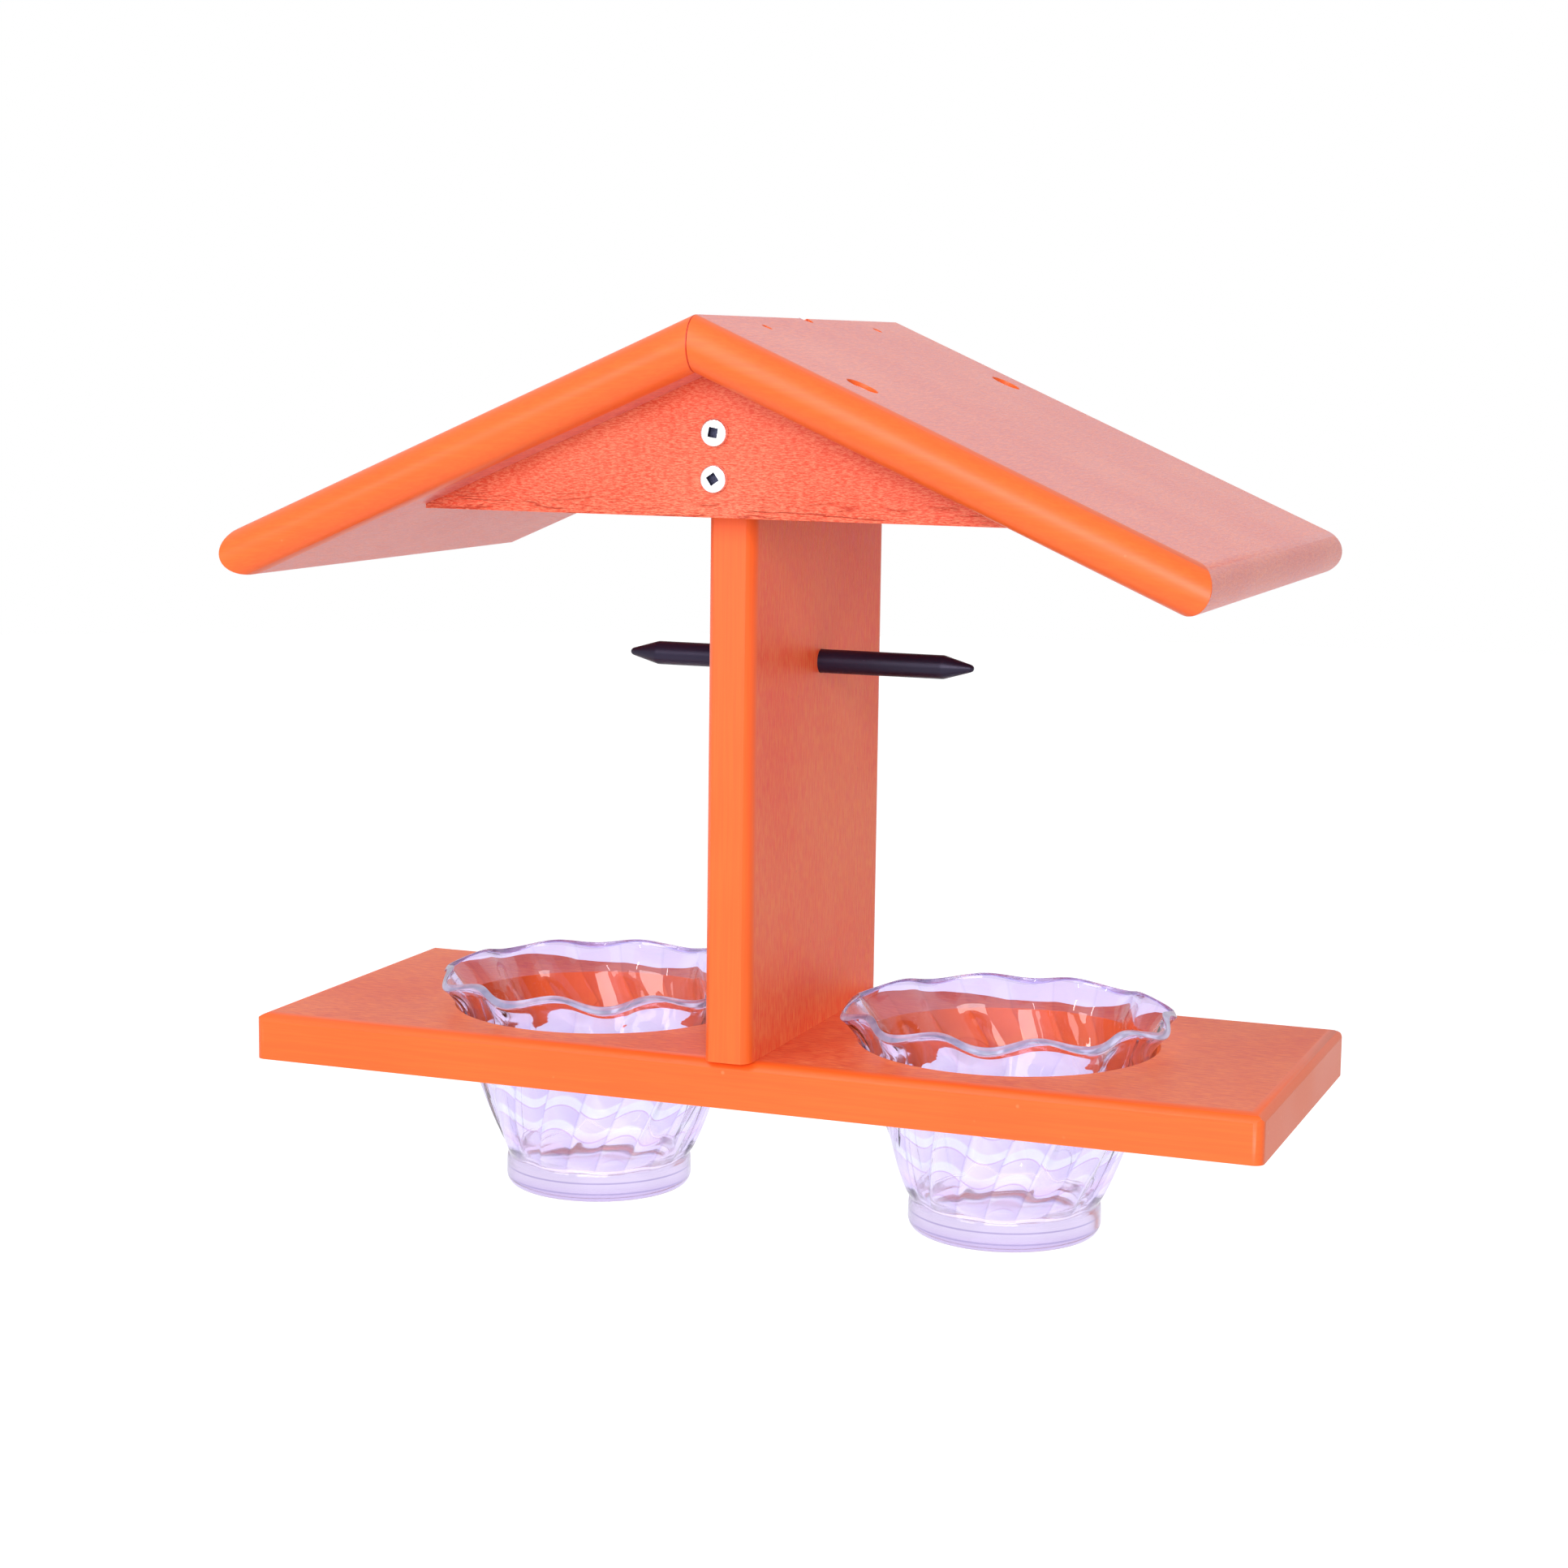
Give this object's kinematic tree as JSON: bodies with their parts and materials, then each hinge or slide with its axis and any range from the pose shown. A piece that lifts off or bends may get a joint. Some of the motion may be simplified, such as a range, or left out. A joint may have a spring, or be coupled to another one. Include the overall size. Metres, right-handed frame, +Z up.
{
  "type": "oriole feeder",
  "caption": "Hanging bird feeder of thick plastic boards: gabled roof, upright post with a pointed fruit peg, and a tray with lift-out swirl cups.",
  "frame": {"origin": "mouth of the hanger hole in the top of the post, under the middle of the ridge", "axes": "+X along the tray towards the right cup, +Y towards the back, +Z up"},
  "size_m": [0.4166, 0.241, 0.3597],
  "materials": {
    "tray_board": "brushed orange plastic board, grain along its length",
    "post_board": "brushed orange plastic board, upright grain",
    "gable_board": "brushed orange plastic board with coarse wrinkles",
    "roof_board": "orange plastic board, speckled faces and smooth rounded edges",
    "peg": "satin black plastic",
    "clear_cup": "clear moulded plastic with swirl flutes",
    "screw": "pale coated steel"
  },
  "bodies": {
    "frame": {"tray": "tray_board", "post": "post_board", "gable_front": "gable_board", "gable_rear": "gable_board", "roof_panel_left": "roof_board", "roof_panel_right": "roof_board", "fruit_peg": "peg", "gable_screw_front_upper": "screw", "gable_screw_front_lower": "screw", "gable_screw_rear_upper": "screw", "gable_screw_rear_lower": "screw", "roof_screw_left_front": "screw", "roof_screw_left_rear": "screw", "roof_screw_right_front": "screw", "roof_screw_right_rear": "screw", "ridge_screw_left_front": "screw", "ridge_screw_left_rear": "screw", "ridge_screw_right_front": "screw", "ridge_screw_right_rear": "screw", "tray_screw_front": "screw", "tray_screw_middle": "screw", "tray_screw_rear": "screw"},
    "left_cup": {"cup_left": "clear_cup"},
    "right_cup": {"cup_right": "clear_cup"}
  },
  "joints": [
    {"name": "left_cup_lift", "type": "slide", "parent": "frame", "child": "left_cup", "axis": [0, 0, 1], "range_m": [0, 0.085]},
    {"name": "right_cup_lift", "type": "slide", "parent": "frame", "child": "right_cup", "axis": [0, 0, 1], "range_m": [0, 0.085]}
  ]
}
